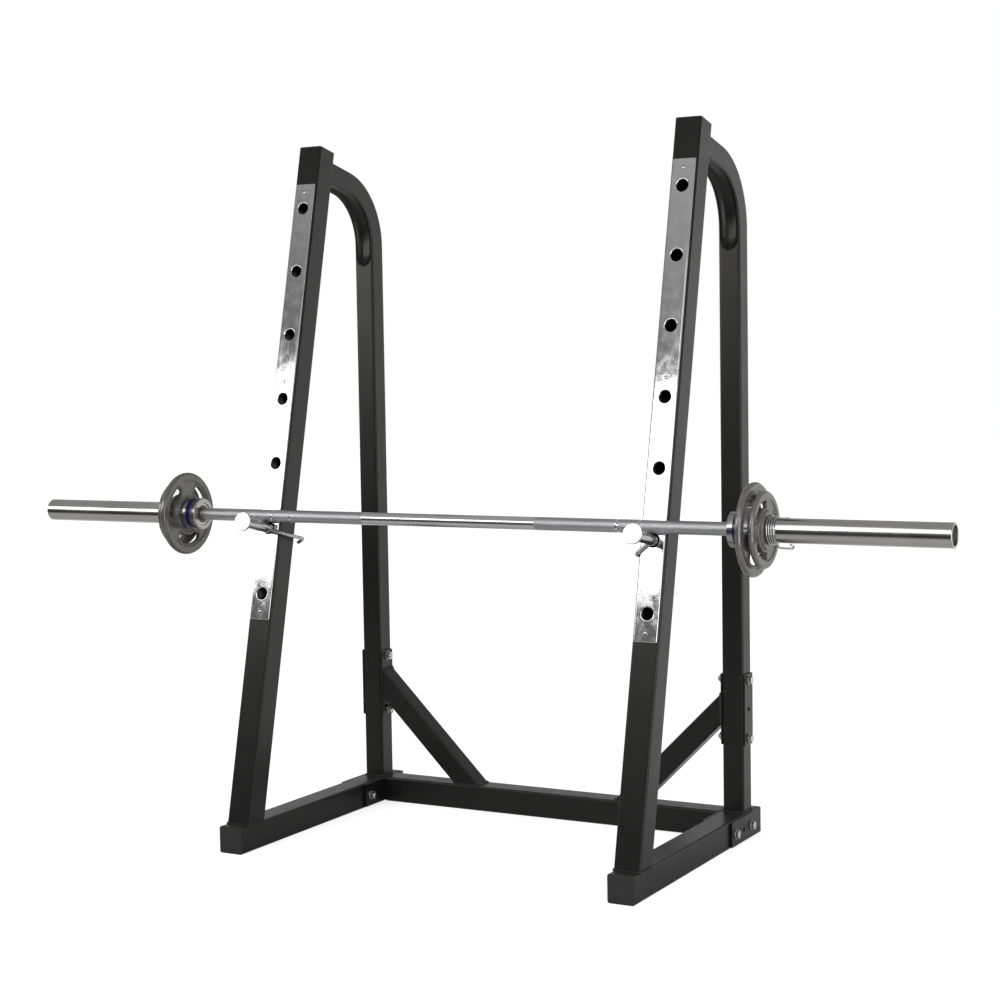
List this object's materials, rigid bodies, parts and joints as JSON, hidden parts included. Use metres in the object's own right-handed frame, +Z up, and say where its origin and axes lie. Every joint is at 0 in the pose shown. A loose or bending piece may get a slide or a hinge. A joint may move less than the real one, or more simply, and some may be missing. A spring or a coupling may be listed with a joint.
{
  "type": "squat rack with barbell",
  "caption": "Steel squat rack with leaning perforated uprights, bent rear posts and pin catches, holding a barbell with grip plates and spring collars.",
  "frame": {"origin": "centre of the footprint, on the floor", "axes": "+X along the bar to the rack's right as seen from the front, +Y to the back, +Z up"},
  "size_m": [2.21, 0.6834, 1.5905],
  "materials": {
    "black_paint": "satin black powder coat",
    "black_plastic": "matt moulded plastic",
    "chrome": "bright chrome plate",
    "zinc": "bright zinc plate",
    "satin_steel": "satin chrome with knurled grip zones",
    "cast_iron": "grey hammertone enamel on cast iron",
    "blue": "glossy blue ring",
    "bronze": "sintered bronze"
  },
  "bodies": {
    "rack": {"left_base_leg": "black_paint", "left_front_upright": "black_paint", "left_rear_upright": "black_paint", "left_end_bracket": "black_paint", "left_brace": "black_paint", "left_brace_inner_plate": "black_paint", "left_brace_outer_plate": "black_paint", "left_leg_cap": "black_plastic", "left_top_cap": "black_plastic", "left_wear_strip": "chrome", "left_leg_front_bolt": "zinc", "left_leg_rear_bolt": "zinc", "left_leg_front_nut": "zinc", "left_brace_lower_bolt": "zinc", "left_brace_lower_nut": "zinc", "left_brace_upper_bolt": "zinc", "left_brace_upper_nut": "zinc", "right_base_leg": "black_paint", "right_front_upright": "black_paint", "right_rear_upright": "black_paint", "right_end_bracket": "black_paint", "right_brace": "black_paint", "right_brace_inner_plate": "black_paint", "right_brace_outer_plate": "black_paint", "right_leg_cap": "black_plastic", "right_top_cap": "black_plastic", "right_wear_strip": "chrome", "right_leg_front_bolt": "zinc", "right_leg_rear_bolt": "zinc", "right_leg_front_nut": "zinc", "right_brace_lower_bolt": "zinc", "right_brace_lower_nut": "zinc", "right_brace_upper_bolt": "zinc", "right_brace_upper_nut": "zinc", "rear_crossbeam": "black_paint"},
    "left_catch": {"left_catch_pin": "chrome"},
    "left_catch_lever": {"left_catch_rod": "chrome"},
    "right_catch": {"right_catch_pin": "chrome"},
    "right_catch_lever": {"right_catch_rod": "chrome"},
    "barbell": {"bar_shaft": "satin_steel", "left_retaining_ring": "zinc", "right_retaining_ring": "zinc"},
    "left_turning_sleeve": {"left_sleeve": "chrome", "left_sleeve_collar": "chrome", "left_collar_band": "blue", "left_inner_bushing": "bronze", "left_outer_bushing": "bronze", "left_end_plug": "chrome"},
    "left_large_disc": {"left_large_plate": "cast_iron"},
    "left_small_disc": {"left_small_plate": "cast_iron"},
    "left_spring_clip": {"left_spring_collar": "chrome"},
    "right_turning_sleeve": {"right_sleeve": "chrome", "right_sleeve_collar": "chrome", "right_collar_band": "blue", "right_inner_bushing": "bronze", "right_outer_bushing": "bronze", "right_end_plug": "chrome"},
    "right_large_disc": {"right_large_plate": "cast_iron"},
    "right_small_disc": {"right_small_plate": "cast_iron"},
    "right_spring_clip": {"right_spring_collar": "chrome"}
  },
  "joints": [
    {"name": "left_catch_pull", "type": "slide", "parent": "rack", "child": "left_catch", "axis": [0, -0.975, 0.2224], "range_m": [0, 0.0135]},
    {"name": "left_catch_turn", "type": "hinge", "parent": "left_catch", "child": "left_catch_lever", "pos_m": [-0.478, -0.16386, 0.71225], "axis": [0, -0.975, 0.2224], "range_deg": [-25.4, 20.6]},
    {"name": "right_catch_pull", "type": "slide", "parent": "rack", "child": "right_catch", "axis": [0, -0.975, 0.2224], "range_m": [0, 0.0135]},
    {"name": "right_catch_turn", "type": "hinge", "parent": "right_catch", "child": "right_catch_lever", "pos_m": [0.478, -0.16386, 0.71225], "axis": [0, -0.975, 0.2224], "range_deg": [-46, 0]},
    {"name": "bar_lift", "type": "slide", "parent": "rack", "child": "barbell", "axis": [0, 0, 1], "range_m": [0, 0.5]},
    {"name": "left_sleeve_spin", "type": "hinge", "parent": "barbell", "child": "left_turning_sleeve", "pos_m": [-0.9, -0.17517, 0.7418], "axis": [-1, 0, 0], "continuous": true},
    {"name": "left_large_plate_slide", "type": "slide", "parent": "left_turning_sleeve", "child": "left_large_disc", "axis": [-1, 0, 0], "range_m": [0, 0.105]},
    {"name": "left_small_plate_slide", "type": "slide", "parent": "left_large_disc", "child": "left_small_disc", "axis": [-1, 0, 0], "range_m": [0, 0.105]},
    {"name": "left_spring_slide", "type": "slide", "parent": "left_small_disc", "child": "left_spring_clip", "axis": [-1, 0, 0], "range_m": [0, 0.105]},
    {"name": "right_sleeve_spin", "type": "hinge", "parent": "barbell", "child": "right_turning_sleeve", "pos_m": [0.9, -0.17517, 0.7418], "axis": [1, 0, 0], "continuous": true},
    {"name": "right_large_plate_slide", "type": "slide", "parent": "right_turning_sleeve", "child": "right_large_disc", "axis": [1, 0, 0], "range_m": [0, 0.105]},
    {"name": "right_small_plate_slide", "type": "slide", "parent": "right_large_disc", "child": "right_small_disc", "axis": [1, 0, 0], "range_m": [0, 0.105]},
    {"name": "right_spring_slide", "type": "slide", "parent": "right_small_disc", "child": "right_spring_clip", "axis": [1, 0, 0], "range_m": [0, 0.105]}
  ]
}
